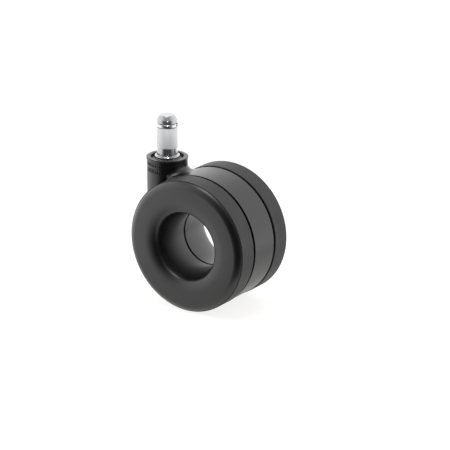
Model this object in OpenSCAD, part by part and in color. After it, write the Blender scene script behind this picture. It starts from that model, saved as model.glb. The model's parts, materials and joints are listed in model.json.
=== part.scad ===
// Twin-wheel swivel caster with an open hub and a plain pin stem.
// Millimetres, +Z up the stem, +X from the swivel axis towards the wheel axis.
// The origin is on the swivel axis, on the top face of the stem's flange.
// Each wheel has no axle: its sleeve turns in a wide bush round the open bore.

/* [Wheels] */
// Diameter of the wheels over their treads
wheel_d = 65; // [63:0.5:66]
// Width over the outer faces of both wheels
overall_w = 42.5; // [41:0.5:43]
// Diameter of the open bore through both wheels
bore_d = 28.8; // [28.4:0.1:29.2]
// Horizontal distance from the swivel axis to the wheel axis
trail = 24.3; // [24.3:0.1:24.7]
// Height of the flange's top face above the wheel axis
rise = 36.8; // [36.8:0.1:37.5]
// Thickness of each soft tread ring
tread_t = 1.5; // [1.2:0.1:1.6]
// Stiffening ribs behind the face of each wheel
wheel_ribs = 12; // [6:1:16]

/* [Housing] */
// Width of the band between the wheels
band_w = 16.4; // [16:0.1:16.6]
// Gap from the band to each wheel
side_gap = 1; // [0.6:0.1:1.1]
// Diameter of the neck that holds the stem
neck_d = 20; // [19:0.5:20.5]
// Radius of the fillet from the neck down to the band
fillet_r = 4.5; // [3.5:0.5:5]
// Ribs between the hub and the band
housing_ribs = 10; // [6:1:14]

/* [Stem] */
// Diameter of the pin that goes into the chair base
pin_d = 10; // [9.8:0.1:10.2]
// Length of the pin above its flange
pin_l = 20; // [19:0.5:22]
// Diameter of the flange
flange_d = 12.2; // [11.5:0.1:13]
// Diameter of the journal that turns in the neck
journal_d = 8; // [7.8:0.1:8.2]
// How far the split grip ring stands out of the pin
grip_proud = 0.08; // [0.04:0.01:0.09]

/* [Hidden] */
$fn = 128;
FRONT = 1;      // the side towards -Y
REAR = -1;      // the side towards +Y
run_c = 0.05;   // radial running clearance
cut = 1;        // how far a cutting body runs past the face it cuts
sink = 0.2;     // how far a rib runs into the wall behind it
break = 0.2;    // broken edge on the flange

// Wheel, as radii and as distances from the middle plane
wheel_r = wheel_d / 2;
half_w = overall_w / 2;
bore_r = bore_d / 2;
band_half = band_w / 2;
wheel_in = band_half + side_gap;    // inner edge of drum and tread
seam = 0.15;                        // half the gap between the two sleeves
sleeve_t = 2.5;
sleeve_r = bore_r + sleeve_t;
tread_seat_r = wheel_r - tread_t;
drum_t = 1.6;
drum_r = tread_seat_r - drum_t;
tread_edge = 0.3;
shoulder_r = 28.3;                  // where the shoulder meets the face
shoulder_h = half_w - 0.2;          // the face is slightly domed
shoulder_round = 4.4;
shoulder_turn = 62;                 // how far the shoulder turns before the tread
tread_out = shoulder_h - shoulder_round * (1 - cos(shoulder_turn));
lip_r = 22.8;                       // where the face rolls into the bore
lip_size = [6, 2.3];                // semi-axes of that roll, across and along the axle
lip_turn = 55;                      // how far the roll turns before the throat
lip_sweep = atan(tan(lip_turn) * lip_size[0] / lip_size[1]);
lip_end = [lip_r - lip_size[0] * sin(lip_sweep), half_w - lip_size[1] * (1 - cos(lip_sweep))];
throat_low = 2;                     // the bore is straight below this height
throat_cos = 1 / ((lip_end[1] - throat_low) / tan(lip_turn) / (lip_end[0] - bore_r) - 1);
throat = [(lip_end[0] - bore_r) / (1 - throat_cos),
          (lip_end[1] - throat_low) / sqrt(1 - pow(throat_cos, 2))];
wall = 2.2;
root_in_r = sleeve_r + 0.1;
collar_r = 19.5;                    // thrust collar behind the sleeve
collar_out = 10.6;
rib_t = 1.4;
rib_in_r = 18.4;

// Bearings round the open hub
bush_in_r = sleeve_r + run_c;
hub_seat_r = 17.9;
hub_r = 20.5;
hub_half = 7.4;
bush_flange_t = 0.8;
bush_flange_r = 19.6;
washer_gap = 0.05;
washer_t = 0.5;
washer_r = [sleeve_r + 0.1, 19.4];
collar_in = hub_half + bush_flange_t + washer_gap + washer_t;
keeper_r = 17.25;                   // lip that keeps the snap rings in
keeper_in = 1.6;
keeper_out = 2.6;
pocket_r = 18.1;
ring_groove_r = sleeve_r - 1.1;
ring_groove = [0.45, 1.45];
ring_span = [0.55, 1.35];
ring_r = [ring_groove_r + 0.5, keeper_r + 0.5];
ring_slot = 5;
ring_turn = 60;

// Housing
band_r = wheel_r - 0.3;
band_in_r = 29.8;
band_edge = 0.35;
web_half = 1.6;
rib_half = 6;
neck_r = neck_d / 2;
neck_top = -0.6;
neck_edge = 0.5;
neck_low = -50;
recess_r = neck_r - 2;
nose_r = 70;                        // long curve from the neck's back into the band
wheel_clear_r = wheel_r + 0.7;
boss_r = 7.5;
boss_low = -26.4;
boss_top = -10.6;
saddle_low = -11.3;                 // the fillet's solid runs down to here, inside the band
fillet_x = neck_r + fillet_r;
fillet_z = sqrt(pow(band_r + fillet_r, 2) - pow(trail - fillet_x, 2)) - rise;
nose_turn = acos((nose_r - neck_r - trail) / (nose_r - band_r));

// Stem, its bush and its clip
pin_r = pin_d / 2;
flange_r = flange_d / 2;
flange_t = 1.2;
root_r = 0.4;
tip_r = 3.6;
tip_h = 1.8;
journal_r = journal_d / 2;
journal_low = -24.6;
stem_bore_r = journal_r + run_c;
stem_bore_low = -25;
grip_groove = [14, 16.3];
grip_groove_r = 4.25;
grip_span = [14.1, 16.2];
grip_in_r = 4.3;
grip_slot = 2.2;
grip_turn = 20;
clip_groove = [-20.4, -19.2];
clip_groove_r = journal_r - 1;
clip_span = [-20.3, -19.3];
clip_r = [journal_r - 0.65, journal_r + 0.95];
clip_pocket = [-21, -19];
clip_pocket_r = journal_r + 1.3;
clip_pass_r = journal_r + 0.7;
clip_slot = 2.6;
clip_turn = 90;
stem_washer_t = 0.6;
stem_washer_r = 5.9;
stem_washer_in_r = journal_r + 0.15;
stem_washer_top = -flange_t - washer_gap;
bush_top = stem_washer_top - stem_washer_t;
bush_shelf = -3.2;
bush_low = -12.5;
bush_r = journal_r + 1.5;
shelf_r = recess_r - 0.1;           // flange of the swivel bush

PLASTIC = [0.32, 0.32, 0.33];
SOFT = [0.30, 0.30, 0.31];
NECK_BLACK = [0.20, 0.20, 0.21];
ACETAL = [0.12, 0.12, 0.12];
ZINC = [0.85, 0.87, 0.89];
SPRING = [0.62, 0.63, 0.65];

// Points of an elliptical arc from angle a0 to a1
function arc(c, r, a0, a1, n = 10) =
    [for (i = [0 : n]) let (a = a0 + (a1 - a0) * i / n) c + [r[0] * cos(a), r[1] * sin(a)]];

// A square-edged ring round Z, from z[0] to z[1]
module ring(r, z) {
    rotate_extrude() translate([r[0], z[0]]) square([r[1] - r[0], z[1] - z[0]]);
}

// A ring with one slot cut through it, turned about Z
module split_ring(r, z, slot, turn) {
    difference() {
        ring(r, z);
        rotate([0, 0, turn]) translate([0, -slot / 2, z[0] - cut])
            cube([r[1] + cut, slot, z[1] - z[0] + 2 * cut]);
    }
}

// A cylinder along Z between two heights
module post(r, z) {
    translate([0, 0, z[0]]) cylinder(r = r, h = z[1] - z[0]);
}

// Wheel frame: Z runs out of the wheel's face, from the middle plane
module on_side(side) {
    translate([trail, 0, -rise]) rotate([90 * side, 0, 0]) children();
}

module stem() {
    color(ZINC) rotate_extrude() polygon(concat(
        [[0, journal_low], [journal_r - root_r, journal_low], [journal_r, journal_low + root_r],
         [journal_r, clip_groove[0]], [clip_groove_r, clip_groove[0]],
         [clip_groove_r, clip_groove[1]], [journal_r, clip_groove[1]],
         [journal_r, -flange_t], [flange_r - break, -flange_t], [flange_r, break - flange_t],
         [flange_r, -break], [flange_r - break, 0]],
        arc([pin_r + root_r, root_r], [root_r, root_r], 270, 180, 4),
        [[pin_r, grip_groove[0]], [grip_groove_r, grip_groove[0]],
         [grip_groove_r, grip_groove[1]], [pin_r, grip_groove[1]],
         [pin_r, pin_l - tip_h], [tip_r, pin_l], [0, pin_l]]
    ));
}

module grip_ring() {
    color(SPRING)
        split_ring([grip_in_r, pin_r + grip_proud], grip_span, grip_slot, grip_turn);
}

module stem_clip() {
    color(SPRING) split_ring(clip_r, clip_span, clip_slot, clip_turn);
}

module stem_washer() {
    color(SPRING) ring([stem_washer_in_r, stem_washer_r], [bush_top, stem_washer_top]);
}

module swivel_bush() {
    color(ACETAL) rotate_extrude() polygon([
        [stem_bore_r, bush_low], [bush_r, bush_low], [bush_r, bush_shelf],
        [shelf_r, bush_shelf], [shelf_r, bush_top], [stem_bore_r, bush_top]
    ]);
}

// The neck seen from the side: a straight back that runs on a long curve into the band
module neck_side() {
    rotate([90, 0, 0]) translate([0, 0, -neck_r]) linear_extrude(2 * neck_r) polygon(concat(
        [[neck_r, neck_top], [-neck_r, neck_top]],
        arc([nose_r - neck_r, (nose_r - band_r) * sin(nose_turn) - rise],
            [nose_r, nose_r], 180, 180 + nose_turn, 12),
        [[trail, -rise]]
    ));
}

module neck() {
    intersection() {
        neck_side();
        rotate_extrude() polygon([
            [0, neck_top], [neck_r - neck_edge, neck_top], [neck_r, neck_top - neck_edge],
            [neck_r, neck_low], [0, neck_low]
        ]);
    }
    intersection() {
        rotate_extrude() polygon(concat(
            [[0, fillet_z]],
            arc([fillet_x, fillet_z], [fillet_r, fillet_r], 180, 270, 8),
            [[fillet_x, saddle_low], [0, saddle_low]]
        ));
        translate([0, -band_half, -rise]) cube([trail, band_w, rise]);
    }
}

module band() {
    on_side(FRONT) rotate_extrude() polygon([
        [band_in_r, -band_half], [band_r - band_edge, -band_half],
        [band_r, band_edge - band_half], [band_r, band_half - band_edge],
        [band_r - band_edge, band_half], [band_in_r, band_half]
    ]);
}

// Hub, web and radial ribs, which join the hub to the band
module hub() {
    on_side(FRONT) {
        ring([keeper_r, hub_r], [-hub_half, hub_half]);
        ring([hub_r - cut, band_in_r + cut], [-web_half, web_half]);
        for (i = [0 : housing_ribs - 1]) rotate([0, 0, i * 360 / housing_ribs])
            translate([hub_r - cut, -rib_t / 2, -rib_half])
                cube([band_in_r - hub_r + 2 * cut, rib_t, 2 * rib_half]);
    }
}

module housing() {
    color(NECK_BLACK) difference() {
        union() {
            difference() {
                neck();
                on_side(FRONT) post(band_in_r + cut, [-neck_r, neck_r]);
                for (side = [FRONT, REAR])
                    on_side(side) post(wheel_clear_r, [band_half, neck_r + cut]);
            }
            band();
            hub();
            post(boss_r, [boss_low, boss_top]);
        }
        on_side(FRONT) post(keeper_r, [-neck_r, neck_r]);
        on_side(FRONT) post(pocket_r, [-keeper_in, keeper_in]);
        for (side = [FRONT, REAR]) on_side(side) post(hub_seat_r, [keeper_out, hub_half + cut]);
        post(recess_r, [bush_shelf, cut]);
        post(bush_r, [bush_low, cut]);
        post(clip_pass_r, [clip_pocket[1], cut]);
        post(clip_pocket_r, clip_pocket);
        post(stem_bore_r, [stem_bore_low, cut]);
    }
}

module hub_bush(side) {
    color(ACETAL) on_side(side) {
        ring([bush_in_r, hub_seat_r], [keeper_out, hub_half]);
        ring([bush_in_r, bush_flange_r], [hub_half, hub_half + bush_flange_t]);
    }
}

module hub_washer(side) {
    color(SPRING) on_side(side)
        ring(washer_r, [collar_in - washer_t, collar_in]);
}

module snap_ring(side) {
    color(SPRING) on_side(side) split_ring(ring_r, ring_span, ring_slot, ring_turn);
}

// Face, shoulder and drum outside, with the sleeve round the bore inside
module wheel(side) {
    color(PLASTIC) on_side(side) {
        rotate_extrude() polygon(concat(
            [[bore_r, seam], [sleeve_r, seam], [sleeve_r, ring_groove[0]],
             [ring_groove_r, ring_groove[0]], [ring_groove_r, ring_groove[1]],
             [sleeve_r, ring_groove[1]], [sleeve_r, collar_in], [collar_r, collar_in],
             [collar_r, collar_out], [root_in_r, collar_out]],
            [[lip_r - lip_size[0] + wall, half_w - wall],
             [drum_r, half_w - wall], [drum_r, wheel_in], [tread_seat_r, wheel_in],
             [tread_seat_r, tread_out]],
            arc([shoulder_r, shoulder_h - shoulder_round], shoulder_round * [1, 1],
                90 - shoulder_turn, 90, 8),
            arc([lip_r, half_w - lip_size[1]], lip_size, 90, 90 + lip_sweep, 8),
            arc([bore_r + throat[0], throat_low], throat, 180 - acos(throat_cos), 180, 9)
        ));
        for (i = [0 : wheel_ribs - 1]) rotate([0, 0, (i + 0.5) * 360 / wheel_ribs])
            translate([rib_in_r, -rib_t / 2, collar_out])
                cube([drum_r - rib_in_r + sink, rib_t, half_w - wall - collar_out + sink]);
    }
}

module tread(side) {
    color(SOFT) on_side(side) rotate_extrude() polygon([
        [tread_seat_r, wheel_in], [wheel_r - tread_edge, wheel_in],
        [wheel_r, wheel_in + tread_edge], [wheel_r, tread_out], [tread_seat_r, tread_out]
    ]);
}

stem();
grip_ring();
stem_clip();
stem_washer();
swivel_bush();
housing();
hub_bush(FRONT);  // front_bush
hub_washer(FRONT);  // front_washer
snap_ring(FRONT);  // front_snap_ring
wheel(FRONT);  // front_wheel
tread(FRONT);  // front_tread
hub_bush(REAR);  // rear_bush
hub_washer(REAR);  // rear_washer
snap_ring(REAR);  // rear_snap_ring
wheel(REAR);  // rear_wheel
tread(REAR);  // rear_tread
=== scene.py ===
"""The looks of a twin-wheel caster with an open hub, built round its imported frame.

Lengths inside the classes are millimetres in the row frame: the origin is the root of the
pin on its flange, +Z runs up the stem and both wheels turn about one line along Y.
Meshes are written in metres.
"""

import json
import logging
import math
from dataclasses import dataclass
from enum import Enum
from typing import Callable, Sequence

import bpy
import numpy as np
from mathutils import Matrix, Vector


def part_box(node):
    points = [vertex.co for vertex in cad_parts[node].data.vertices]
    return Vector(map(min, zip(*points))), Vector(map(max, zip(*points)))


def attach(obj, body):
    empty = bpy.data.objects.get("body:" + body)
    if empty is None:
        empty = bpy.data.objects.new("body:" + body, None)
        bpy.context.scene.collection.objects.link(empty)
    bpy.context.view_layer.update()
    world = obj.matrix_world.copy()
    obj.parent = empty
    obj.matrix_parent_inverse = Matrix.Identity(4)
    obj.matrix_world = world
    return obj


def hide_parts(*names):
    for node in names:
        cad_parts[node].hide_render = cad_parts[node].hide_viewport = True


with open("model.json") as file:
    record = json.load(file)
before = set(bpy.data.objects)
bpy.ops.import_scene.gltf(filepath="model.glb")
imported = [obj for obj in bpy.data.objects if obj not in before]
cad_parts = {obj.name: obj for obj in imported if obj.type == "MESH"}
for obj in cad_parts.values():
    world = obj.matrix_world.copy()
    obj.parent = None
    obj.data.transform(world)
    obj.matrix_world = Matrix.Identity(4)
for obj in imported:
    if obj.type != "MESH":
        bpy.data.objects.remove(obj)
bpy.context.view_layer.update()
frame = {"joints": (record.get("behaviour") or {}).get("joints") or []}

MM = 0.001
TURN_STEPS = 192

log = logging.getLogger("caster")

Outline = list[tuple[float, float]]
Corner = tuple[float, float, float]
Colour = tuple[float, float, float, float]
Field = Callable[[np.ndarray, np.ndarray, np.ndarray], np.ndarray]


class Side(Enum):
    """One of the two wheels, by the way its face looks along Y."""

    FRONT = 1
    REAR = -1

    @property
    def word(self) -> str:
        """The start of this side's node names."""
        return self.name.lower()

    @property
    def body(self) -> str:
        """The CAD body that this side's wheel rides on."""
        return f"{self.word}_wheel"


# ---------------------------------------------------------------- shells and meshes


@dataclass
class Shell:
    """A closed surface.

    points holds one row per vertex in millimetres, faces the vertex numbers of each face,
    normals one row per vertex, and finish one material number per face.
    """

    points: np.ndarray
    faces: list[tuple[int, ...]]
    normals: np.ndarray
    finish: list[int]

    def moved(self, place: Callable[[np.ndarray], np.ndarray]) -> "Shell":
        """Puts the shell somewhere else.

        Args:
            place: Maps rows of points; it must be a turn and a shift.

        Returns:
            A new shell with the points and normals moved.
        """
        zero = place(np.zeros((1, 3)))
        return Shell(place(self.points), self.faces, place(self.normals) - zero, self.finish)


def joined(shells: Sequence[Shell]) -> Shell:
    """Puts several closed shells into one.

    Args:
        shells: The shells to gather.

    Returns:
        One shell that holds them all.
    """
    faces: list[tuple[int, ...]] = []
    finish: list[int] = []
    start = 0
    for shell in shells:
        faces += [tuple(v + start for v in face) for face in shell.faces]
        finish += shell.finish
        start += len(shell.points)
    points = np.concatenate([s.points for s in shells])
    normals = np.concatenate([s.normals for s in shells])
    return Shell(points, faces, normals, finish)


def piece(name: str, shell: Shell, finishes: Sequence[bpy.types.Material]) -> bpy.types.Object:
    """Makes a mesh object from a shell.

    Args:
        name: The piece's name.
        shell: Its surface, in millimetres.
        finishes: The materials, in the order of the shell's finish numbers.

    Returns:
        The new object, linked to the scene.
    """
    mesh = bpy.data.meshes.new(name)
    mesh.from_pydata((shell.points * MM).tolist(), [], shell.faces)
    for finish in finishes:
        mesh.materials.append(finish)
    mesh.polygons.foreach_set("material_index", shell.finish)
    mesh.polygons.foreach_set("use_smooth", [True] * len(shell.faces))
    mesh.normals_split_custom_set_from_vertices(shell.normals.tolist())
    mesh.update()
    obj = bpy.data.objects.new(name, mesh)
    bpy.context.scene.collection.objects.link(obj)
    return obj


def shell_of(mesh: bpy.types.Mesh) -> Shell:
    """Reads a Blender mesh back as a shell, with every face corner its own vertex.

    Args:
        mesh: A mesh in metres.

    Returns:
        The same surface in millimetres, keeping the mesh's corner normals.
    """
    corners = len(mesh.loops)
    where = np.zeros(len(mesh.vertices) * 3)
    mesh.vertices.foreach_get("co", where)
    owner = np.zeros(corners, dtype=int)
    mesh.loops.foreach_get("vertex_index", owner)
    normals = np.zeros(corners * 3)
    mesh.corner_normals.foreach_get("vector", normals)
    points = where.reshape(-1, 3) / MM
    faces = [tuple(owner[i] for i in face.loop_indices) for face in mesh.polygons]
    summed = np.zeros_like(points)
    np.add.at(summed, owner, normals.reshape(-1, 3))
    size = np.linalg.norm(summed, axis=1, keepdims=True)
    return Shell(points, faces, summed / np.maximum(size, 1e-9), [0] * len(faces))


# ---------------------------------------------------------------- outlines and turning


def arc(centre: tuple[float, float], radii: tuple[float, float], start: float, end: float,
        steps: int = 16) -> Outline:
    """Points of an elliptical arc.

    Args:
        centre: The ellipse's centre.
        radii: Its two half axes.
        start: First angle, in degrees.
        end: Last angle, in degrees.
        steps: How many pieces the arc is cut into.

    Returns:
        steps + 1 points.
    """
    angles = np.radians(np.linspace(start, end, steps + 1))
    return [(centre[0] + radii[0] * math.cos(a), centre[1] + radii[1] * math.sin(a))
            for a in angles]


def rounded(corners: Sequence[Corner], steps: int = 5) -> Outline:
    """Rounds the corners of a closed outline.

    Args:
        corners: Each corner and the radius of its rounding; radius 0 keeps the point.
        steps: How many pieces each rounding is cut into.

    Returns:
        The outline's points.
    """
    outline: Outline = []
    count = len(corners)
    for i, (x, y, radius) in enumerate(corners):
        here = np.array((x, y))
        back = np.array(corners[i - 1][:2]) - here
        ahead = np.array(corners[(i + 1) % count][:2]) - here
        if radius <= 0:
            outline.append((x, y))
            continue
        back /= np.linalg.norm(back)
        ahead /= np.linalg.norm(ahead)
        half = math.acos(max(-1.0, min(1.0, float(back @ ahead)))) / 2
        middle = back + ahead
        centre = here + middle / np.linalg.norm(middle) * radius / math.sin(half)
        first = here + back * radius / math.tan(half) - centre
        last = here + ahead * radius / math.tan(half) - centre
        turn = math.atan2(first[0] * last[1] - first[1] * last[0], float(first @ last))
        base = math.atan2(first[1], first[0])
        for k in range(steps + 1):
            a = base + turn * k / steps
            outline.append((centre[0] + radius * math.cos(a), centre[1] + radius * math.sin(a)))
    return outline


def outline_normals(outline: Outline) -> np.ndarray:
    """Outward normals of a closed anticlockwise outline, one per point.

    Long straight runs outweigh short ones, so flats stay flat beside a rounding.

    Args:
        outline: The outline's points.

    Returns:
        One unit row per point.
    """
    points = np.array(outline)
    ahead = np.roll(points, -1, axis=0) - points
    across = np.stack([ahead[:, 1], -ahead[:, 0]], axis=1)
    summed = across + np.roll(across, 1, axis=0)
    return summed / np.maximum(np.linalg.norm(summed, axis=1, keepdims=True), 1e-12)


def lathe(outline: Outline, steps: int = TURN_STEPS,
          finish: Callable[[float, float], int] | None = None) -> Shell:
    """Turns a closed outline of (radius, height) round Z.

    Args:
        outline: The outline; points at radius 0 become poles.
        steps: Steps round the turn.
        finish: Gives a face's material number from its radius and height.

    Returns:
        The turned shell, with its normals outwards.
    """
    area = sum(a[0] * b[1] - b[0] * a[1] for a, b in zip(outline, outline[1:] + outline[:1]))
    if area < 0:
        outline = outline[::-1]
    flat = outline_normals(outline)
    turns = np.linspace(0, 2 * math.pi, steps, endpoint=False)
    points: list[tuple[float, float, float]] = []
    normals: list[tuple[float, float, float]] = []
    rows: list[list[int]] = []
    for (r, h), (nr, nh) in zip(outline, flat):
        start = len(points)
        if r < 1e-6:
            points.append((0.0, 0.0, h))
            normals.append((0.0, 0.0, math.copysign(1.0, nh)))
            rows.append([start] * steps)
            continue
        points += [(r * math.cos(t), r * math.sin(t), h) for t in turns]
        normals += [(nr * math.cos(t), nr * math.sin(t), nh) for t in turns]
        rows.append([start + k for k in range(steps)])
    faces: list[tuple[int, ...]] = []
    numbers: list[int] = []
    for i, (r, h) in enumerate(outline):
        j = (i + 1) % len(outline)
        if r < 1e-6 and outline[j][0] < 1e-6:
            continue
        number = finish((r + outline[j][0]) / 2, (h + outline[j][1]) / 2) if finish else 0
        for k in range(steps):
            n = (k + 1) % steps
            ring = (rows[i][k], rows[i][n], rows[j][n], rows[j][k])
            faces.append(tuple(dict.fromkeys(ring)))
            numbers.append(number)
    return Shell(np.array(points), faces, np.array(normals), numbers)


# ---------------------------------------------------------------- distance fields


def blend_union(a: np.ndarray, b: np.ndarray, radius: float) -> np.ndarray:
    """Joins two distance fields with a round inner corner of the given radius."""
    inside = np.hypot(np.maximum(radius - a, 0), np.maximum(radius - b, 0))
    return np.maximum(radius, np.minimum(a, b)) - inside


def blend_both(a: np.ndarray, b: np.ndarray, radius: float) -> np.ndarray:
    """Keeps what two distance fields share, with a round outer corner."""
    outside = np.hypot(np.maximum(radius + a, 0), np.maximum(radius + b, 0))
    return np.minimum(-radius, np.maximum(a, b)) + outside


def neighbours(axis: int) -> tuple[tuple[slice, ...], tuple[slice, ...]]:
    """Picks the grid points that have a next one along an axis, and those next ones.

    Args:
        axis: The grid's axis.

    Returns:
        The index of each.
    """
    low, high = [slice(None)] * 3, [slice(None)] * 3
    low[axis], high[axis] = slice(None, -1), slice(1, None)
    return tuple(low), tuple(high)


def field_shell(solid: Field, low: Sequence[float], high: Sequence[float],
                step: float) -> Shell:
    """Meshes where a distance field is zero, on a grid, then settles each point on it.

    Args:
        solid: The field: negative inside, in millimetres.
        low: Lowest corner of the grid.
        high: Highest corner of the grid.
        step: The grid's cell size.

    Returns:
        A closed shell of four-sided faces with the field's own normals.
    """
    axes = [np.arange(a, b + step, step) for a, b in zip(low, high)]
    value = solid(*np.meshgrid(*axes, indexing="ij"))
    inside = value < 0
    shape = tuple(n - 1 for n in value.shape)
    total = np.zeros(shape + (3,))
    hits = np.zeros(shape)
    corner = [slice(None, -1), slice(1, None)]
    for axis in range(3):
        first, last = (value[index] for index in neighbours(axis))
        crossed = (first < 0) != (last < 0)
        share = np.where(crossed, first / np.where(crossed, first - last, 1), 0)
        others = [i for i in range(3) if i != axis]
        for u in (0, 1):
            for v in (0, 1):
                part = [slice(None)] * 3
                part[others[0]], part[others[1]] = corner[u], corner[v]
                mask = crossed[tuple(part)]
                offset = np.zeros(shape + (3,))
                offset[..., axis] = share[tuple(part)]
                offset[..., others[0]] = u
                offset[..., others[1]] = v
                total += offset * mask[..., None]
                hits += mask
    used = hits > 0
    cells = np.argwhere(used)
    number = np.full(shape, -1)
    number[used] = np.arange(len(cells))
    points = np.array(low) + step * (cells + total[used] / hits[used][:, None])
    faces: list[tuple[int, ...]] = []
    for axis in range(3):
        first, last = (inside[index] for index in neighbours(axis))
        u, v = (axis + 1) % 3, (axis + 2) % 3
        at = np.argwhere(first != last)
        keep = np.all(at[:, [u, v]] > 0, axis=1)
        at = at[keep & np.all(at[:, [u, v]] < np.array(shape)[[u, v]], axis=1)]
        leaving = first[tuple(at.T)]
        ring = []
        for du, dv in ((-1, -1), (0, -1), (0, 0), (-1, 0)):
            cell = at.copy()
            cell[:, u] += du
            cell[:, v] += dv
            ring.append(number[tuple(cell.T)])
        quads = np.stack(ring, axis=1)
        quads[~leaving] = quads[~leaving][:, ::-1]
        faces += [tuple(q) for q in quads.tolist()]
    home = points.copy()
    for _ in range(4):
        slope = field_slope(solid, points)
        size = np.maximum((slope**2).sum(axis=1), 0.2)
        points = points - slope * (solid(*points.T) / size)[:, None]
        points = home + np.clip(points - home, -0.6 * step, 0.6 * step)
    slope = field_slope(solid, points)
    normals = slope / np.maximum(np.linalg.norm(slope, axis=1, keepdims=True), 1e-9)
    return Shell(points, faces, normals, [0] * len(faces))


def field_slope(solid: Field, points: np.ndarray, reach: float = 0.01) -> np.ndarray:
    """Finds the direction in which a distance field grows.

    Args:
        solid: The field.
        points: One row per place.
        reach: How far to each side the field is read.

    Returns:
        One row per place, about 1 mm long per millimetre of growth.
    """
    slope = np.zeros_like(points)
    for axis in range(3):
        shift = np.zeros(3)
        shift[axis] = reach
        slope[:, axis] = solid(*(points + shift).T) - solid(*(points - shift).T)
    return slope / (2 * reach)


# ---------------------------------------------------------------- geometry nodes


class NodeSheet:
    """Adds and joins nodes in one node tree, so that a tree reads from top to bottom."""

    def __init__(self, tree: bpy.types.NodeTree) -> None:
        """Args: tree: The tree to fill."""
        self.tree = tree

    def add(self, kind: str, settings: dict[str, object] | None = None,
            **inputs: object) -> bpy.types.Node:
        """Adds a node.

        Args:
            kind: Blender's type name of the node.
            settings: Its properties, by name.
            **inputs: Its inputs by name, with _ for a space: values, or sockets to link.

        Returns:
            The new node.
        """
        node = self.tree.nodes.new(kind)
        for key, value in (settings or {}).items():
            setattr(node, key, value)
        for key, value in inputs.items():
            socket = node.inputs[int(key[1:])] if key[1:].isdigit() else node.inputs[
                key.replace("_", " ")]
            if isinstance(value, bpy.types.NodeSocket):
                self.tree.links.new(value, socket)
            else:
                socket.default_value = value
        return node

    def maths(self, operation: str, *values: object) -> bpy.types.NodeSocket:
        """Adds a maths node.

        Args:
            operation: Blender's name of what it does.
            *values: Numbers or sockets, in the node's order.

        Returns:
            The socket of its result.
        """
        inputs = {f"_{place}": value for place, value in enumerate(values)}
        return self.add("ShaderNodeMath", {"operation": operation}, **inputs).outputs[0]

    def mapped(self, value: bpy.types.NodeSocket, low: float, high: float, start: float,
               end: float, kind: str = "LINEAR") -> bpy.types.NodeSocket:
        """Maps a value from low..high to start..end, held at the ends.

        Args:
            value: The socket to map.
            low: Where the change starts.
            high: Where it ends.
            start: The result up to low.
            end: The result from high on.
            kind: Blender's name of the way between.

        Returns:
            The socket of the result.
        """
        node = self.add("ShaderNodeMapRange", {"interpolation_type": kind}, Value=value,
                        From_Min=low, From_Max=high, To_Min=start, To_Max=end)
        return node.outputs[0]


class GeometryTree:
    """A geometry node tree with named inputs, and the plain mesh that it makes."""

    def __init__(self, name: str, inputs: dict[str, str]) -> None:
        """Args: name: The tree's name. inputs: Its inputs' names and socket types."""
        self.tree = bpy.data.node_groups.new(name, "GeometryNodeTree")
        face = self.tree.interface
        for key, kind in inputs.items():
            face.new_socket(key, in_out="INPUT", socket_type=kind)
        face.new_socket("Geometry", in_out="OUTPUT", socket_type="NodeSocketGeometry")
        self.sheet = NodeSheet(self.tree)
        self.given = self.tree.nodes.new("NodeGroupInput").outputs

    def bar(self, path: bpy.types.NodeSocket, width: str, height: str,
            count: int) -> bpy.types.NodeSocket:
        """Sweeps a rectangle along a path, its corners rounded by the input Edge.

        Args:
            path: The curve to follow.
            width: Name of the input with the rectangle's width.
            height: Name of the input with its height.
            count: Points in each rounding.

        Returns:
            The closed bar's geometry.
        """
        section = self.sheet.add("GeometryNodeCurvePrimitiveQuadrilateral",
                                 Width=self.given[width], Height=self.given[height])
        soft = self.sheet.add("GeometryNodeFilletCurve", {"mode": "POLY"},
                              Curve=section.outputs[0], Count=count, Radius=self.given["Edge"])
        swept = self.sheet.add("GeometryNodeCurveToMesh", Curve=path,
                               Profile_Curve=soft.outputs[0], Fill_Caps=True)
        return swept.outputs[0]

    def close(self, geometry: bpy.types.NodeSocket) -> None:
        """Ends the tree: instances become real, and the material is set.

        Args:
            geometry: What the tree has made.
        """
        real = self.sheet.add("GeometryNodeRealizeInstances", Geometry=geometry)
        dressed = self.sheet.add("GeometryNodeSetMaterial", Geometry=real.outputs[0],
                                 Material=self.given["Material"])
        self.sheet.add("NodeGroupOutput", Geometry=dressed.outputs[0])

    def shell(self, **values: object) -> Shell:
        """Runs the tree once.

        Args:
            **values: The tree's inputs by name, with _ for a space.

        Returns:
            What it makes, as a shell.
        """
        host = bpy.data.objects.new("tree_host", bpy.data.meshes.new("tree_host"))
        bpy.context.scene.collection.objects.link(host)
        modifier = host.modifiers.new("tree", "NODES")
        modifier.node_group = self.tree
        named = {item.name: item.identifier for item in self.tree.interface.items_tree
                 if item.item_type == "SOCKET" and item.in_out == "INPUT"}
        for key, value in values.items():
            modifier[named[key.replace("_", " ")]] = value
        graph = bpy.context.evaluated_depsgraph_get()
        made = bpy.data.meshes.new_from_object(host.evaluated_get(graph))
        host.modifiers.remove(modifier)
        bpy.data.objects.remove(host)
        shell = shell_of(made)
        bpy.data.meshes.remove(made)
        return shell


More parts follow.
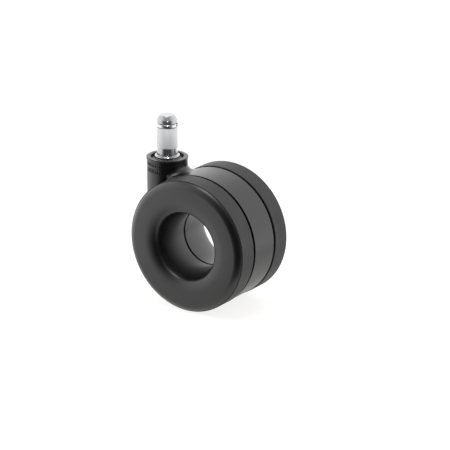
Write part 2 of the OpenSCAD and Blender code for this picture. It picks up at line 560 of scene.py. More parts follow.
def split_ring_tree() -> GeometryTree:
    """A bar of rounded section bent round Z, with its ends apart at the slot.

    Returns:
        The tree, with sizes in metres and angles in radians.
    """
    made = GeometryTree("split_ring", {
        "Radius": "NodeSocketFloat", "Slot Angle": "NodeSocketFloat",
        "Turn": "NodeSocketFloat", "Across": "NodeSocketFloat", "Along": "NodeSocketFloat",
        "Edge": "NodeSocketFloat", "Steps": "NodeSocketInt", "Material": "NodeSocketMaterial"})
    sheet, given = made.sheet, made.given
    half = sheet.maths("DIVIDE", given["Slot Angle"], 2.0)
    start = sheet.maths("ADD", given["Turn"], half)
    sweep = sheet.maths("SUBTRACT", 2 * math.pi, given["Slot Angle"])
    path = sheet.add("GeometryNodeCurveArc", {"mode": "RADIUS"}, Resolution=given["Steps"],
                     Radius=given["Radius"], Start_Angle=start, Sweep_Angle=sweep)
    made.close(made.bar(path.outputs[0], "Across", "Along", 4))
    return made


def rib_fan_tree() -> GeometryTree:
    """Equal bars that point outwards from Z, one after another round a fan.

    Returns:
        The tree, with sizes in metres and angles in radians.
    """
    made = GeometryTree("rib_fan", {
        "Count": "NodeSocketInt", "Start": "NodeSocketFloat", "Step": "NodeSocketFloat",
        "Inner": "NodeSocketFloat", "Outer": "NodeSocketFloat", "Height": "NodeSocketFloat",
        "Thickness": "NodeSocketFloat", "Tall": "NodeSocketFloat", "Edge": "NodeSocketFloat",
        "Material": "NodeSocketMaterial"})
    sheet, given = made.sheet, made.given
    inner = sheet.add("ShaderNodeCombineXYZ", X=given["Inner"], Z=given["Height"])
    outer = sheet.add("ShaderNodeCombineXYZ", X=given["Outer"], Z=given["Height"])
    path = sheet.add("GeometryNodeCurvePrimitiveLine", Start=inner.outputs[0],
                     End=outer.outputs[0])
    bar = made.bar(path.outputs[0], "Thickness", "Tall", 3)
    points = sheet.add("GeometryNodePoints", Count=given["Count"])
    index = sheet.add("GeometryNodeInputIndex")
    turned = sheet.maths("MULTIPLY_ADD", index.outputs[0], given["Step"], given["Start"])
    angle = sheet.add("ShaderNodeCombineXYZ", Z=turned)
    fan = sheet.add("GeometryNodeInstanceOnPoints", Points=points.outputs[0], Instance=bar,
                    Rotation=angle.outputs[0])
    made.close(fan.outputs[0])
    return made


# ---------------------------------------------------------------- finishes


def grey(value: float) -> Colour:
    """An opaque grey."""
    return (value, value, value, 1.0)


class FinishSheet(NodeSheet):
    """A material's node tree with its shader, ready for more nodes."""

    def __init__(self, name: str, **shader: object) -> None:
        """Args: name: The material's name. **shader: Constant inputs of the shader."""
        self.material = bpy.data.materials.new(name)
        self.material.use_nodes = True
        super().__init__(self.material.node_tree)
        self.tree.nodes.clear()
        self.shader = self.add("ShaderNodeBsdfPrincipled", **shader)
        self.add("ShaderNodeOutputMaterial", Surface=self.shader.outputs[0])
        self.place = self.add("ShaderNodeTexCoord").outputs["Object"]

    def noise(self, size_mm: float, detail: float = 3.0, stretch: Sequence[float] = (1, 1, 1),
              roughness: float = 0.5) -> bpy.types.NodeSocket:
        """A cloud pattern.

        Args:
            size_mm: Rough size of its blots.
            detail: How much finer structure it has.
            stretch: How much longer the blots are along X, Y and Z.
            roughness: How strong the finer structure is.

        Returns:
            The socket that gives 0 to 1.
        """
        scale = [1 / (MM * size_mm * s) for s in stretch]
        spread = self.add("ShaderNodeMapping", Vector=self.place, Scale=scale)
        cloud = self.add("ShaderNodeTexNoise", Vector=spread.outputs[0], Scale=1.0,
                         Detail=detail, Roughness=roughness)
        return cloud.outputs[0]

    def tint(self, value: bpy.types.NodeSocket, dark: Colour, light: Colour) -> None:
        """Colours the shader between two colours.

        Args:
            value: The socket that gives 0 to 1.
            dark: The colour at 0.
            light: The colour at 1.
        """
        ramp = self.add("ShaderNodeValToRGB", Fac=value)
        ramp.color_ramp.elements[0].color = dark
        ramp.color_ramp.elements[1].color = light
        self.tree.links.new(ramp.outputs[0], self.shader.inputs["Base Color"])

    def roughen(self, value: bpy.types.NodeSocket) -> None:
        """Sets the shader's roughness from a socket."""
        self.tree.links.new(value, self.shader.inputs["Roughness"])

    def bumps(self, *layers: tuple[bpy.types.NodeSocket, float]) -> None:
        """Raises the surface by several patterns.

        Args:
            *layers: Each pattern's socket and its height in millimetres.
        """
        normal: bpy.types.NodeSocket | None = None
        for height, depth_mm in layers:
            bump = self.add("ShaderNodeBump", Height=height, Strength=1.0,
                            Distance=depth_mm * MM)
            if normal is not None:
                self.tree.links.new(normal, bump.inputs["Normal"])
            normal = bump.outputs[0]
        self.tree.links.new(normal, self.shader.inputs["Normal"])


@dataclass(frozen=True)
class MouldedPlastic:
    """Black or dark grey moulded plastic with the fine grain of its mould.

    Args:
        name: The material's name.
        shade: Mean grey level of the plastic itself.
        roughness: Lowest and highest roughness over the surface.
        grain_mm: Size of the mould's grain.
        grain_depth_mm: Depth of that grain.
        specular: The shader's specular level.
        scuff: How much faint rubbing shows.
        cloud_mm: Size of the slow changes of shade.
        rub_mm: Width of the rubbing marks.
        rub_stretch: How much longer than wide they are.
        spread: How far the shade strays from its mean, as a share.
    """

    name: str
    shade: float
    roughness: tuple[float, float]
    grain_mm: float
    grain_depth_mm: float
    specular: float = 0.5
    scuff: float = 0.3
    cloud_mm: float = 9.0
    rub_mm: float = 1.2
    rub_stretch: float = 6.0
    spread: float = 0.12

    def material(self) -> bpy.types.Material:
        """Builds the finish.

        Returns:
            The finished material.
        """
        sheet = FinishSheet(self.name, Specular_IOR_Level=self.specular)
        cloud = sheet.noise(self.cloud_mm, 4.0)
        rub = sheet.noise(self.rub_mm, 6.0, (self.rub_stretch, 1.0, 1.0), 0.7)
        grain = sheet.noise(self.grain_mm, 2.0)
        speck = sheet.noise(self.grain_mm * 4.0, 3.0)
        worn = sheet.maths("MULTIPLY_ADD", rub, self.scuff, cloud)
        sheet.tint(sheet.mapped(worn, 0.35, 0.65 + self.scuff / 2, 0.0, 1.0),
                   grey(self.shade * (1 - self.spread)), grey(self.shade * (1 + self.spread)))
        sheet.roughen(sheet.mapped(worn, 0.3, 0.7 + self.scuff / 2, *self.roughness))
        sheet.bumps((speck, self.grain_depth_mm * 1.5), (grain, self.grain_depth_mm))
        return sheet.material


@dataclass(frozen=True)
class PlatedSteel:
    """Bright plating over turned steel, with the faint rings that turning leaves.

    Args:
        name: The material's name.
        shade: Grey level of the metal.
        roughness: Lowest and highest roughness over the surface.
        ring_mm: Spacing of the turning marks.
        ring_depth_mm: Their depth.
        metallic: The shader's metallic level, lower where the plating is dull.
        cloud_mm: Size of the slow changes of shade.
        pit_mm: Size of the fine pits.
        tarnish: The darker tint, as shares of the shade.
        bright: The lighter tint, as shares of the shade.
    """

    name: str
    shade: float
    roughness: tuple[float, float]
    ring_mm: float
    ring_depth_mm: float
    metallic: float = 1.0
    cloud_mm: float = 2.5
    pit_mm: float = 0.35
    tarnish: tuple[float, float, float] = (0.93, 0.95, 0.98)
    bright: tuple[float, float, float] = (1.0, 1.0, 1.01)

    def material(self) -> bpy.types.Material:
        """Builds the finish.

        Returns:
            The finished material.
        """
        sheet = FinishSheet(self.name, Metallic=self.metallic)
        rings = sheet.noise(self.ring_mm, 2.0, (400.0, 400.0, 1.0))
        cloud = sheet.noise(self.cloud_mm, 4.0)
        pits = sheet.noise(self.pit_mm, 3.0)
        dark, light = (tuple(self.shade * share for share in hue) + (1.0,)
                       for hue in (self.tarnish, self.bright))
        sheet.tint(sheet.mapped(cloud, 0.3, 0.7, 0.0, 1.0), dark, light)
        sheet.roughen(sheet.mapped(cloud, 0.3, 0.7, *self.roughness))
        sheet.bumps((rings, self.ring_depth_mm), (pits, self.ring_depth_mm * 0.5))
        return sheet.material


@dataclass(frozen=True)
class Finishes:
    """Every finish of the caster, made once and shared by its pieces."""

    wheel: bpy.types.Material
    tread: bpy.types.Material
    housing: bpy.types.Material
    acetal: bpy.types.Material
    plated: bpy.types.Material
    ground: bpy.types.Material
    spring: bpy.types.Material

    @classmethod
    def make(cls) -> "Finishes":
        """Builds all the materials.

        Returns:
            The caster's finishes.
        """
        return cls(
            wheel=MouldedPlastic("wheel_plastic", 0.006, (0.32, 0.38), 0.16, 0.0016,
                                 specular=0.6).material(),
            tread=MouldedPlastic("tread_soft", 0.009, (0.5, 0.62), 0.22, 0.006,
                                 scuff=0.5).material(),
            housing=MouldedPlastic("housing_plastic", 0.004, (0.26, 0.36), 0.3, 0.0012,
                                   scuff=0.6).material(),
            acetal=MouldedPlastic("acetal_black", 0.004, (0.3, 0.4), 0.25, 0.001).material(),
            plated=PlatedSteel("plated_steel", 0.38, (0.14, 0.22), 0.12, 0.0006,
                               metallic=0.85).material(),
            ground=PlatedSteel("plated_ground_steel", 0.58, (0.45, 0.55), 0.08, 0.0012,
                               metallic=0.2).material(),
            spring=PlatedSteel("spring_steel", 0.55, (0.2, 0.32), 0.2, 0.0012).material(),
        )


# ---------------------------------------------------------------- layout


@dataclass(frozen=True)
class Layout:
    """Where the frame puts the caster's main faces.

    Args:
        wheel_x: The wheels' axis, along X.
        wheel_z: The wheels' axis, along Z.
        wheel_r: Radius over the treads.
        half_w: Distance from the middle plane to a wheel's face.
        tread_in: Inner edge of a tread, from the middle plane.
        tread_out: Outer edge of a tread.
        band_r: Radius of the housing's band.
        neck_r: Radius of the neck's rim.
        neck_top: Height of the neck's rim.
        pin_top: Height of the stem's tip.
        stem_low: Height of the journal's end.
    """

    wheel_x: float
    wheel_z: float
    wheel_r: float
    half_w: float
    tread_in: float
    tread_out: float
    band_r: float
    neck_r: float
    neck_top: float
    pin_top: float
    stem_low: float

    @classmethod
    def from_frame(cls) -> "Layout":
        """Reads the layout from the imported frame.

        Returns:
            The caster's main faces.
        """
        spin = next(j for j in frame["joints"] if j["name"] == "front_wheel_spin")
        wheel_x, _, wheel_z = (value / MM for value in spin["pos_m"])
        tread_low, tread_high = (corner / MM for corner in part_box("front_tread"))
        housing_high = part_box("housing")[1] / MM
        stem_low, stem_high = (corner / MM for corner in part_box("stem"))
        return cls(
            wheel_x=wheel_x,
            wheel_z=wheel_z,
            wheel_r=tread_high.x - wheel_x,
            half_w=-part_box("front_wheel")[0].y / MM,
            tread_in=-tread_high.y,
            tread_out=-tread_low.y,
            band_r=housing_high.x - wheel_x,
            neck_r=housing_high.y,
            neck_top=housing_high.z,
            pin_top=stem_high.z,
            stem_low=stem_low.z,
        )

    def on_side(self, side: Side) -> Callable[[np.ndarray], np.ndarray]:
        """How to place what is turned round Z on one side of the wheels' axis.

        Args:
            side: The side that +Z is to look towards.

        Returns:
            A function that moves rows of points.
        """
        s = side.value

        def place(rows: np.ndarray) -> np.ndarray:
            """Turns Z to the side and shifts to the wheels' axis."""
            return np.stack([rows[:, 0] + self.wheel_x, -s * rows[:, 2],
                             s * rows[:, 1] + self.wheel_z], axis=1)

        return place


def dress(obj: bpy.types.Object, body: str, slot: str, *nodes: str) -> bpy.types.Object:
    """Ties a finished piece to the frame.

    Args:
        obj: The piece.
        body: The CAD body it rides on.
        slot: The record's material slot for the piece; not used.
        *nodes: The CAD nodes it stands for.

    Returns:
        The same piece.
    """
    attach(obj, body)
    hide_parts(*nodes)
    log.info("%s: %d faces, rides on %s", obj.name, len(obj.data.polygons), body)
    return obj


# ---------------------------------------------------------------- sub-assemblies


@dataclass(frozen=True)
class SplitRing:
    """A ring of rounded section that is open at one slot.

    Args:
        inner: Inner radius.
        outer: Outer radius.
        low: Lowest height.
        high: Highest height.
        turn: Where its slot is, in degrees.
        slot: The slot's width.
        edge: Rounding of its section.
        steps: Steps round the ring.
    """

    inner: float
    outer: float
    low: float
    high: float
    turn: float
    slot: float
    edge: float
    steps: int = 96

    def shell(self, rings: GeometryTree, finish: bpy.types.Material) -> Shell:
        """Bends the ring round Z.

        Args:
            rings: The tree that bends a bar.
            finish: The ring's material.

        Returns:
            The ring.
        """
        middle = (self.inner + self.outer) / 2
        shell = rings.shell(
            Radius=middle * MM, Slot_Angle=self.slot / middle, Turn=math.radians(self.turn),
            Across=(self.outer - self.inner) * MM, Along=(self.high - self.low) * MM,
            Edge=self.edge * MM, Steps=self.steps, Material=finish)
        shell.points[:, 2] += (self.low + self.high) / 2
        return shell


class Plating(Enum):
    """The stem's two finishes, by their material numbers."""

    POLISHED = 0
    SATIN = 1


@dataclass
class StemSet:
    """The plated stem with its split grip ring and the clip that keeps it in the neck."""

    layout: Layout
    finishes: Finishes
    rings: GeometryTree
    pin_r: float = 5.0
    flange_r: float = 6.1
    flange_t: float = 1.2
    journal_r: float = 4.0
    collar_top: float = 4.1
    groove: tuple[float, float] = (14.0, 16.3)
    groove_r: float = 4.25
    tip_r: float = 3.55
    tip_h: float = 2.0
    clip_groove: tuple[float, float] = (-20.4, -19.2)
    clip_groove_r: float = 3.0
    grip: SplitRing = SplitRing(4.3, 5.09, 14.25, 16.05, turn=20, slot=2.2, edge=0.38)
    clip: SplitRing = SplitRing(3.35, 4.95, -20.3, -19.3, turn=90, slot=2.6, edge=0.12)

    def outline(self) -> Outline:
        """Draws half the stem's section, from the journal's end up to the tip.

        Returns:
            The outline, as radius and height.
        """
        top, low = self.layout.pin_top, self.layout.stem_low
        pin, flange = self.pin_r, self.flange_r
        collar = pin + 0.03
        return rounded([
            (0, low, 0), (self.journal_r, low, 0.5),
            (self.journal_r, self.clip_groove[0], 0.08),
            (self.clip_groove_r, self.clip_groove[0], 0.08),
            (self.clip_groove_r, self.clip_groove[1], 0.08),
            (self.journal_r, self.clip_groove[1], 0.08),
            (self.journal_r, -self.flange_t, 0.15),
            (flange, -self.flange_t, 0.3), (flange, 0, 0.35), (collar, 0, 0.4),
            (collar, self.collar_top - 0.15, 0.05), (pin - 0.07, self.collar_top, 0.03),
            (pin, self.collar_top + 0.15, 0.05),
            (pin, self.groove[0], 0.15), (self.groove_r, self.groove[0], 0.12),
            (self.groove_r, self.groove[1], 0.12), (pin, self.groove[1], 0.15),
            (pin, top - self.tip_h, 0.9), (self.tip_r, top, 0.55), (0, top, 0),
        ])

    def finish_at(self, radius: float, height: float) -> int:
        """Picks a place's finish: the pin's long side is ground, the rest is polished.

        Args:
            radius: The place's distance from the axis.
            height: Its height.

        Returns:
            The material number.
        """
        plain = self.collar_top < height < self.layout.pin_top - 2 * self.tip_h
        ground = plain and radius > self.groove_r + 0.3
        return (Plating.SATIN if ground else Plating.POLISHED).value

    def build(self) -> None:
        """Builds and ties the stem, the grip ring and the clip."""
        finishes = self.finishes
        stem = piece("stem_turned", lathe(self.outline(), 128, self.finish_at),
                     [finishes.plated, finishes.ground])
        dress(stem, "stem", "plated_steel", "stem")
        for node, ring in (("grip_ring", self.grip), ("stem_clip", self.clip)):
            shell = ring.shell(self.rings, finishes.spring)
            dress(piece(f"{node}_split", shell, [finishes.spring]), "stem", "spring_steel", node)


@dataclass
class SwivelBearing:
    """The washer under the stem's flange and the flanged bush that the journal turns in."""

    finishes: Finishes
    washer_r: tuple[float, float] = (4.15, 5.9)
    washer_top: float = -1.25
    bush_r: tuple[float, float] = (4.05, 5.5)
    bush_low: float = -12.5
    flange_r: float = 7.9
    flange_low: float = -3.2
    seat: float = -1.85

    def build(self) -> None:
        """Builds and ties the washer and the bush."""
        bore, rim = self.washer_r
        washer = rounded([(bore, self.seat, 0.1), (rim, self.seat, 0.15),
                          (rim, self.washer_top, 0.15), (bore, self.washer_top, 0.1)])
        dress(piece("stem_thrust_washer", lathe(washer, 96), [self.finishes.spring]),
              "housing", "spring_steel", "stem_washer")
        bore, body = self.bush_r
        bush = rounded([(bore, self.bush_low, 0.2), (body, self.bush_low, 0.3),
                        (body, self.flange_low, 0.1), (self.flange_r, self.flange_low, 0.15),
                        (self.flange_r, self.seat, 0.3), (bore, self.seat, 0.15)])
        dress(piece("swivel_bush_flanged", lathe(bush, 96), [self.finishes.acetal]),
              "housing", "acetal", "swivel_bush")


@dataclass
class Housing:
    """The one moulding between the wheels: neck, band, web, hub and ribs.

    bores holds the radius, bottom and top of each bore in the neck: the seats of the bush's
    flange and body, the journal and the clip. rib_size and mark_size hold a thickness, a
    length or a height over the surface, and the rounding of the edges. mark_turn holds where
    the marks start and their spacing in degrees, mark_rows each row's height and length.
    """

    layout: Layout
    finishes: Finishes
    ribs: GeometryTree
    band_half: float = 8.2
    band_in_r: float = 29.8
    hub_half: float = 7.4
    edge: float = 0.2
    rebate: tuple[float, float] = (0.9, 0.6)
    web_half: float = 1.6
    fillet: float = 4.5
    body_r: float = 9.8
    lip_low: float = -1.9
    nose_r: float = 70.0
    clear_r: float = 33.2
    hub_in_r: float = 17.9
    hub_r: float = 20.5
    catch_r: float = 17.25
    catch_out: float = 2.6
    web_in_r: float = 18.1
    bores: tuple[tuple[float, float, float], ...] = (
        (8.0, -3.2, math.inf), (5.5, -12.5, math.inf), (4.7, -19.0, math.inf),
        (5.3, -21.0, -19.0))
    boss_r: float = 7.5
    boss_span: tuple[float, float] = (-26.4, -17.5)
    socket_r: float = 4.05
    socket_low: float = -25.0
    neck_end: tuple[float, float] = (19.0, -50.0)
    sink: float = 0.001
    grid: float = 0.28
    rib_count: int = 10
    rib_in_r: float = 19.6
    rib_size: tuple[float, float, float] = (1.4, 12.0, 0.3)
    mark_count: int = 9
    mark_turn: tuple[float, float] = (232.0, 6.2)
    mark_rows: tuple[tuple[float, float], ...] = ((-3.4, 1.5), (-6.3, 2.0))
    mark_size: tuple[float, float, float] = (0.5, 0.16, 0.12)

    def wheel_outline(self) -> Outline:
        """Draws the section of band, web and hub.

        Returns:
            The outline, as radius and distance towards the front.
        """
        b, web, hub = self.band_half, self.web_half, self.hub_half
        r_in, r_out = self.band_in_r, self.layout.band_r
        half = [
            (self.web_in_r, web, 0.0), (self.catch_r, web, 0.1),
            (self.catch_r, self.catch_out, 0.1), (self.hub_in_r, self.catch_out, 0.1),
            (self.hub_in_r, hub, 0.2), (self.hub_r, hub, 0.25), (self.hub_r, web, 0.6),
            (r_in, web, 0.6), (r_in, b, 0.3), (r_out, b, self.edge),
        ]
        deep, wide = self.rebate
        step = [(r_out - deep, b, self.edge), (r_out - deep, b - wide, 0.1),
                (r_out, b - wide, self.edge)]
        return rounded(half[:-1] + step + [(r, -h, f) for r, h, f in reversed(half)], 6)

    def nose_centre(self) -> tuple[float, float]:
        """Finds the centre of the long curve from the neck's back into the band.

        Returns:
            The centre, along X and Z.
        """
        reach = self.nose_r - self.layout.band_r
        across = self.nose_r - self.layout.neck_r
        turn = math.acos((across - self.layout.wheel_x) / reach)
        return across, reach * math.sin(turn) + self.layout.wheel_z

    def neck_field(self, x: np.ndarray, y: np.ndarray, z: np.ndarray) -> np.ndarray:
        """Measures the neck with its saddle on the band, and the stem's bores.

        Args:
            x: Places along X.
            y: The same places along Y.
            z: The same places along Z.

        Returns:
            The distance field there, negative inside.
        """
        lay = self.layout
        out = np.hypot(x - lay.wheel_x, z - lay.wheel_z)
        side = np.abs(y)
        round_r = np.hypot(x, y)
        nose_x, nose_z = self.nose_centre()
        lip = blend_both(round_r - lay.neck_r, self.lip_low - z, 0.25)
        neck = blend_union(round_r - self.body_r, lip, 0.2)
        back = np.where(z < nose_z, np.hypot(x - nose_x, z - nose_z) - self.nose_r,
                        -x - lay.neck_r)
        neck = blend_both(neck, back, 0.4)
        saddle = blend_union(neck, out - (lay.band_r - self.sink), self.fillet)
        saddle = blend_both(saddle, side - (self.band_half - self.sink), self.edge)
        over_wheel = np.maximum(self.band_half - side, out - self.clear_r)
        neck = blend_both(neck, -over_wheel, 0.5)
        solid = blend_union(neck, saddle, 0.4)
        solid = blend_both(solid, z - lay.neck_top, 0.35)
        end_x, end_z = self.neck_end
        keep = np.maximum(self.band_in_r + 0.8 - out, np.maximum(x - end_x, end_z - z))
        solid = np.maximum(solid, keep)
        for radius, low, high in self.bores:
            bore = np.maximum(np.maximum(round_r - radius, low - z), z - high)
            solid = blend_both(solid, -bore, 0.25)
        return solid

    def neck_marks(self) -> list[Shell]:
        """Sets rows of short upright ribs on the neck's back.

        Returns:
            One shell per row.
        """
        start, step = (math.radians(angle) for angle in self.mark_turn)
        thick, proud, edge = self.mark_size
        return [self.ribs.shell(
            Count=self.mark_count, Start=start, Step=step, Inner=(self.body_r - 0.6) * MM,
            Outer=(self.body_r + proud) * MM, Height=height * MM, Thickness=thick * MM,
            Tall=tall * MM, Edge=edge * MM, Material=self.finishes.housing)
            for height, tall in self.mark_rows]

    def inner_ribs(self) -> Shell:
        """Makes the ribs that join the hub to the band, on both sides of the web.

        Returns:
            The ribs, in their place.
        """
        thick, tall, edge = (size * MM for size in self.rib_size)
        shell = self.ribs.shell(
            Count=self.rib_count, Start=0.0, Step=2 * math.pi / self.rib_count,
            Inner=self.rib_in_r * MM, Outer=(self.band_in_r + 0.6) * MM, Height=0.0,
            Thickness=thick, Tall=tall, Edge=edge, Material=self.finishes.housing)
        return shell.moved(self.layout.on_side(Side.FRONT))

    def boss(self) -> Shell:
        """Turns the blind socket inside the band that the journal's end sits in.

        Returns:
            The boss.
        """
        low, high = self.boss_span
        clip_r, clip_low, _ = self.bores[-1]
        return lathe(rounded([
            (0, low, 0), (self.boss_r, low, 0.6), (self.boss_r, high, 0.1), (clip_r, high, 0.1),
            (clip_r, clip_low, 0.1), (self.socket_r, clip_low, 0.1),
            (self.socket_r, self.socket_low, 0.2), (0, self.socket_low, 0)]), 96)

    def build(self) -> None:
        """Builds and ties the housing."""
        side = self.layout.neck_r + 1
        end_x, end_z = self.neck_end
        low, high = (-side, -side, end_z - 1), (end_x + 1, side, 0.5)
        neck = field_shell(self.neck_field, low, high, self.grid)
        band = lathe(self.wheel_outline()).moved(self.layout.on_side(Side.FRONT))
        whole = joined([band, neck, self.boss(), self.inner_ribs(), *self.neck_marks()])
        dress(piece("housing_moulding", whole, [self.finishes.housing]), "housing",
              "housing_nylon", "housing")


@dataclass
class Wheel:
    """One wheel with its tread, bush, washer and snap ring.

    groove holds the radius, inner and outer side of the snap ring's groove in the sleeve, and
    collar the same of the collar behind it. bush_r holds the bush's bore, body and flange,
    bush_h where it starts, where its flange starts and where that ends. rib_size holds a rib's
    thickness, length and rounding.
    """

    layout: Layout
    finishes: Finishes
    rings: GeometryTree
    ribs: GeometryTree
    side: Side
    bore_r: float = 14.4
    sleeve_r: float = 16.9
    seam: float = 0.15
    chamfer: float = 0.5
    tread_t: float = 1.5
    drum_r: float = 29.4
    dome: float = 0.2
    shoulder_r: float = 28.3
    shoulder_round: float = 4.4
    shoulder_turn: float = 62.0
    lip_r: float = 22.8
    lip_size: tuple[float, float] = (6.0, 2.3)
    lip_turn: float = 55.0
    throat_low: float = 2.0
    wall: float = 2.2
    root_r: float = 17.0
    collar: tuple[float, float, float] = (19.5, 8.75, 10.6)
    groove: tuple[float, float, float] = (15.8, 0.45, 1.45)
    rib_count: int = 12
    rib_in_r: float = 18.4
    rib_middle: float = 14.9
    rib_size: tuple[float, float, float] = (1.4, 8.6, 0.3)
    bush_r: tuple[float, float, float] = (16.95, 17.9, 19.6)
    bush_h: tuple[float, float, float] = (2.6, 7.4, 8.2)
    washer_r: tuple[float, float] = (17.0, 19.4)
    washer_h: tuple[float, float] = (8.25, 8.75)
    snap: SplitRing = SplitRing(16.3, 17.75, 0.55, 1.35, turn=60, slot=5, edge=0.15, steps=144)

    @property
    def lip_end(self) -> float:
        """Where on its ellipse the lip's roll has turned by lip_turn, in degrees."""
        across, deep = self.lip_size
        return math.degrees(math.atan(math.tan(math.radians(self.lip_turn)) * across / deep))

    def throat(self) -> Outline:
        """Draws the long narrowing of the bore, from the roll's end to the straight part.

        Returns:
            Its points, as radius and distance from the middle plane.
        """
        turn, end = math.radians(self.lip_turn), math.radians(self.lip_end)
        end_r = self.lip_r - self.lip_size[0] * math.sin(end)
        end_h = self.layout.half_w - self.lip_size[1] * (1 - math.cos(end))
        drop, narrow = end_h - self.throat_low, end_r - self.bore_r
        share = 1 / (drop / math.tan(turn) / narrow - 1)
        radii = (narrow / (1 - share), drop / math.sqrt(1 - share**2))
        return arc((self.bore_r + radii[0], self.throat_low), radii,
                   180 - math.degrees(math.acos(share)), 180, 24)

    def outline(self) -> Outline:
        """Draws half the wheel's section.

        Returns:
            The outline, as radius and distance from the middle plane.
        """
        lay = self.layout
        seat = lay.wheel_r - self.tread_t
        sleeve = self.sleeve_r
        groove_r, groove_in, groove_out = self.groove
        collar_r, collar_in, collar_out = self.collar
        back = lay.half_w - self.wall
        steps = 4
        inner = rounded([
            (self.bore_r, self.seam + self.chamfer, 0.06),
            (self.bore_r + self.chamfer, self.seam, 0.06), (sleeve, self.seam, 0.2),
            (sleeve, groove_in, 0.04), (groove_r, groove_in, 0.08), (groove_r, groove_out, 0.08),
            (sleeve, groove_out, 0.04), (sleeve, collar_in, 0.1),
            (collar_r, collar_in, 0.2), (collar_r, collar_out, 0.2),
            (self.root_r, collar_out, 0.2), (self.root_r + 0.3, collar_out + 1, 0)], steps)
        mouth = 2 * (steps + 1)  # the points of the chamfer's two corners, which come last
        roll = (self.lip_r, lay.half_w - self.lip_size[1])
        roll_in = arc(roll, (self.lip_size[0] - self.wall, self.lip_size[1] - self.wall),
                      90 + self.lip_end, 90, 10)
        drum = rounded([
            (self.lip_r, back, 0), (self.drum_r, back, 0.8),
            (self.drum_r, lay.tread_in, 0.25), (seat, lay.tread_in, 0.15),
            (seat, lay.tread_out, 0.05), (seat + 1, lay.tread_out, 0)], steps)
        shoulder_h = lay.half_w - self.dome
        shoulder = arc((self.shoulder_r, shoulder_h - self.shoulder_round),
                       (self.shoulder_round,) * 2, 90 - self.shoulder_turn, 90, 24)
        face = [(self.lip_r + (self.shoulder_r - self.lip_r) * t,
                 lay.half_w - self.dome * t * t) for t in np.linspace(0.9, 0.1, 6)]
        lip = arc(roll, self.lip_size, 90, 90 + self.lip_end, 24)
        return (inner[mouth:] + roll_in + drum[1:] + shoulder + face + lip
                + self.throat()[1:] + inner[:mouth])

    def turned(self, name: str, node: str, outline: Outline, finish: bpy.types.Material,
               body: str, slot: str) -> None:
        """Builds one turned piece on the wheels' axis and ties it.

        Args:
            name: The piece's name, after the side's word.
            node: The CAD node it stands for, after the side's word.
            outline: Half its section.
            finish: Its material.
            body: The CAD body it rides on.
            slot: The record's material slot.
        """
        shell = lathe(outline).moved(self.layout.on_side(self.side))
        word = self.side.word
        dress(piece(f"{word}_{name}", shell, [finish]), body, slot, f"{word}_{node}")

    def wheel_shell(self) -> Shell:
        """Turns the wheel's moulding and sets the ribs behind its face.

        Returns:
            The wheel, in its place.
        """
        thick, tall, edge = (size * MM for size in self.rib_size)
        ribs = self.ribs.shell(
            Count=self.rib_count, Start=math.pi / self.rib_count,
            Step=2 * math.pi / self.rib_count, Inner=self.rib_in_r * MM,
            Outer=(self.drum_r + 0.6) * MM, Height=self.rib_middle * MM, Thickness=thick,
            Tall=tall, Edge=edge, Material=self.finishes.wheel)
        return joined([lathe(self.outline()), ribs]).moved(self.layout.on_side(self.side))

    def tread_outline(self) -> Outline:
        """Draws half the section of the soft tread.

        Returns:
            The outline, as radius and distance from the middle plane.
        """
        lay = self.layout
        seat = lay.wheel_r - self.tread_t
        return rounded([(seat, lay.tread_in, 0.1), (lay.wheel_r, lay.tread_in, 0.4),
                        (lay.wheel_r, lay.tread_out, 0.1), (seat, lay.tread_out, 0.1)], 6)

    def build(self) -> None:
        """Builds and ties everything on this side."""
        finishes, word, body = self.finishes, self.side.word, self.side.body
        wheel = piece(f"{word}_wheel_moulding", self.wheel_shell(), [finishes.wheel])
        dress(wheel, body, "wheel_nylon", f"{word}_wheel")
        self.turned("tread_ring", "tread", self.tread_outline(), finishes.tread, body,
                    "tread_soft")
        bore, rim, flange = self.bush_r
        low, shelf, top = self.bush_h
        bush = rounded([(bore, low, 0.15), (rim, low, 0.2), (rim, shelf, 0.05),
                        (flange, shelf, 0.1), (flange, top, 0.15), (bore, top, 0.15)])
        self.turned("bush_flanged", "bush", bush, finishes.acetal, "housing", "acetal")
        washer = rounded([(self.washer_r[i], self.washer_h[j], 0.1)
                          for i, j in ((0, 0), (1, 0), (1, 1), (0, 1))])
        self.turned("thrust_washer", "washer", washer, finishes.spring, body, "spring_steel")
        ring = self.snap.shell(self.rings, finishes.spring)
        made = piece(f"{word}_snap_ring_split", ring.moved(self.layout.on_side(self.side)),
                     [finishes.spring])
        dress(made, body, "spring_steel", f"{word}_snap_ring")


# ---------------------------------------------------------------- stage


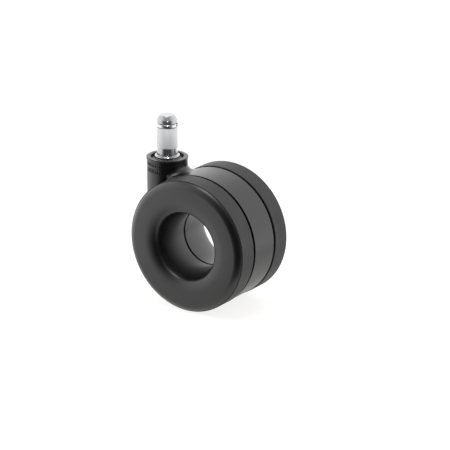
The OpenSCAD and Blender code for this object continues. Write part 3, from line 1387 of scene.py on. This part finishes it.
@dataclass
class Studio:
    """Plain pale floor, soft light all round with a dark room behind the camera, camera."""

    layout: Layout
    azimuth: float = 34.6
    elevation: float = 19.05
    distance: float = 1300.0
    lens: float = 216.0
    aim_right: float = 7.79
    aim_up: float = 5.21
    floor_r: float = 125.0
    floor_t: float = 0.02
    floor_gap: float = 0.05
    floor_shift: tuple[float, float] = (-30.0, 60.0)
    floor_glow: float = 0.84
    backdrop: float = 1.05
    room: float = 1.75
    dark: float = 0.015
    dark_span: tuple[float, float] = (0.25, 0.8)
    low: float = 0.5
    low_span: tuple[float, float] = (-0.85, -0.35)
    high: float = 0.35
    high_span: tuple[float, float] = (0.5, 0.95)
    top_place: tuple[float, float, float] = (0.0, -100.0, 620.0)
    top_size: float = 300.0
    top_power: float = 1.5
    spot_power: float = 12.0
    spot_distance: float = 600.0
    spot_side: float = 0.1
    spot_angle: float = 2.3
    spot_r: float = 10.0
    spot_height: float = 0.62

    def axes(self) -> tuple[Vector, Vector, Vector]:
        """Works out how the camera stands.

        Returns:
            The camera's right, up and backward directions.
        """
        a, e = math.radians(self.azimuth), math.radians(self.elevation)
        back = Vector((math.sin(a) * math.cos(e), -math.cos(a) * math.cos(e), math.sin(e)))
        right = Vector((math.cos(a), math.sin(a), 0.0))
        return right, back.cross(right), back

    def hub(self) -> Vector:
        """The middle of the wheels' axis, in millimetres."""
        return Vector((self.layout.wheel_x, 0.0, self.layout.wheel_z))

    def stand(self, name: str, data: bpy.types.ID, place: Vector, way: Vector) -> bpy.types.Object:
        """Stands a camera or a light in the scene.

        Args:
            name: The object's name.
            data: The camera or light it holds.
            place: Where it stands, in millimetres.
            way: The direction its back looks in.

        Returns:
            The new object.
        """
        obj = bpy.data.objects.new(name, data)
        obj.location = place * MM
        obj.rotation_mode = "QUATERNION"
        obj.rotation_quaternion = way.to_track_quat("Z", "Y")
        bpy.context.scene.collection.objects.link(obj)
        return obj

    def camera(self) -> None:
        """Sets the camera at its distance, aimed beside the wheels' axis."""
        right, up, back = self.axes()
        aim = self.hub() + right * self.aim_right + up * self.aim_up
        data = bpy.data.cameras.new("camera")
        data.sensor_width = 36.0
        data.lens = self.lens
        data.clip_start, data.clip_end = 0.05, 20.0
        camera = self.stand("camera", data, aim + back * self.distance, back)
        bpy.context.scene.camera = camera

    def floor(self) -> None:
        """A round white floor just under the wheels."""
        sheet = FinishSheet("floor_white", Base_Color=grey(0.25), Roughness=0.7,
                            Specular_IOR_Level=0.2, Emission_Color=(1.0, 0.995, 0.98, 1.0),
                            Emission_Strength=self.floor_glow)
        bottom = self.layout.wheel_z - self.layout.wheel_r - self.floor_gap
        under = bottom - self.floor_t
        disc = lathe([(0, under), (self.floor_r, under), (self.floor_r, bottom),
                      (0, bottom)], 96)
        disc.points[:, :2] += (self.layout.wheel_x + self.floor_shift[0], self.floor_shift[1])
        floor = piece("floor", disc, [sheet.material])

    def world(self) -> None:
        """White to the camera; for the rest bright, but dark behind the camera."""
        world = bpy.data.worlds.new("studio")
        world.use_nodes = True
        sheet = NodeSheet(world.node_tree)
        sheet.tree.nodes.clear()
        back = self.axes()[2]
        toward = Vector((back.x, back.y, 0.0)).normalized()
        way = sheet.add("ShaderNodeTexCoord").outputs["Generated"]
        facing = sheet.add("ShaderNodeVectorMath", {"operation": "DOT_PRODUCT"}, _0=way,
                           _1=tuple(toward))
        smooth = "SMOOTHSTEP"
        dim = sheet.mapped(facing.outputs["Value"], *self.dark_span, self.room, self.dark, smooth)
        height = sheet.add("ShaderNodeSeparateXYZ", Vector=way).outputs["Z"]
        low = sheet.mapped(height, *self.low_span, self.low, 1.0, smooth)
        high = sheet.mapped(height, *self.high_span, 1.0, self.high, smooth)
        light = sheet.maths("MULTIPLY", dim, sheet.maths("MULTIPLY", low, high))
        room = sheet.add("ShaderNodeBackground", Color=grey(1.0), Strength=light)
        white = sheet.add("ShaderNodeBackground", Color=grey(1.0), Strength=self.backdrop)
        rays = sheet.add("ShaderNodeLightPath")
        mixed = sheet.add("ShaderNodeMixShader", _0=rays.outputs["Is Camera Ray"],
                          _1=room.outputs[0], _2=white.outputs[0])
        sheet.add("ShaderNodeOutputWorld", Surface=mixed.outputs[0])
        bpy.context.scene.world = world

    def top_light(self) -> None:
        """Hangs a square soft light over the wheels, facing their axis."""
        data = bpy.data.lights.new("top_light", "AREA")
        data.size = self.top_size * MM
        data.energy = self.top_power
        offset = Vector(self.top_place)
        self.stand("top_light", data, self.hub() + offset, offset)

    def pin_light(self) -> None:
        """Stands a narrow light beside the camera's line that reaches the pin alone."""
        data = bpy.data.lights.new("pin_light", "SPOT")
        data.energy, data.shadow_soft_size = self.spot_power, self.spot_r * MM
        data.spot_size, data.spot_blend = math.radians(self.spot_angle), 0.5
        right, _, back = self.axes()
        way = (back + right * self.spot_side).normalized()
        aim = Vector((0.0, 0.0, self.layout.pin_top * self.spot_height))
        self.stand("pin_light", data, aim + way * self.spot_distance, way)

    def build(self) -> None:
        """Builds the whole stage."""
        self.camera()
        self.floor()
        self.world()
        self.top_light()
        self.pin_light()
        bpy.context.scene.view_settings.view_transform = "Standard"
        log.info("stage ready")


def main() -> None:
    logging.basicConfig(level=logging.INFO, format="%(name)s: %(message)s")
    layout = Layout.from_frame()
    finishes = Finishes.make()
    rings, ribs = split_ring_tree(), rib_fan_tree()
    Studio(layout).build()
    StemSet(layout, finishes, rings).build()
    SwivelBearing(finishes).build()
    Housing(layout, finishes, ribs).build()
    for side in Side:
        Wheel(layout, finishes, rings, ribs, side).build()


if __name__ == "__main__":
    main()
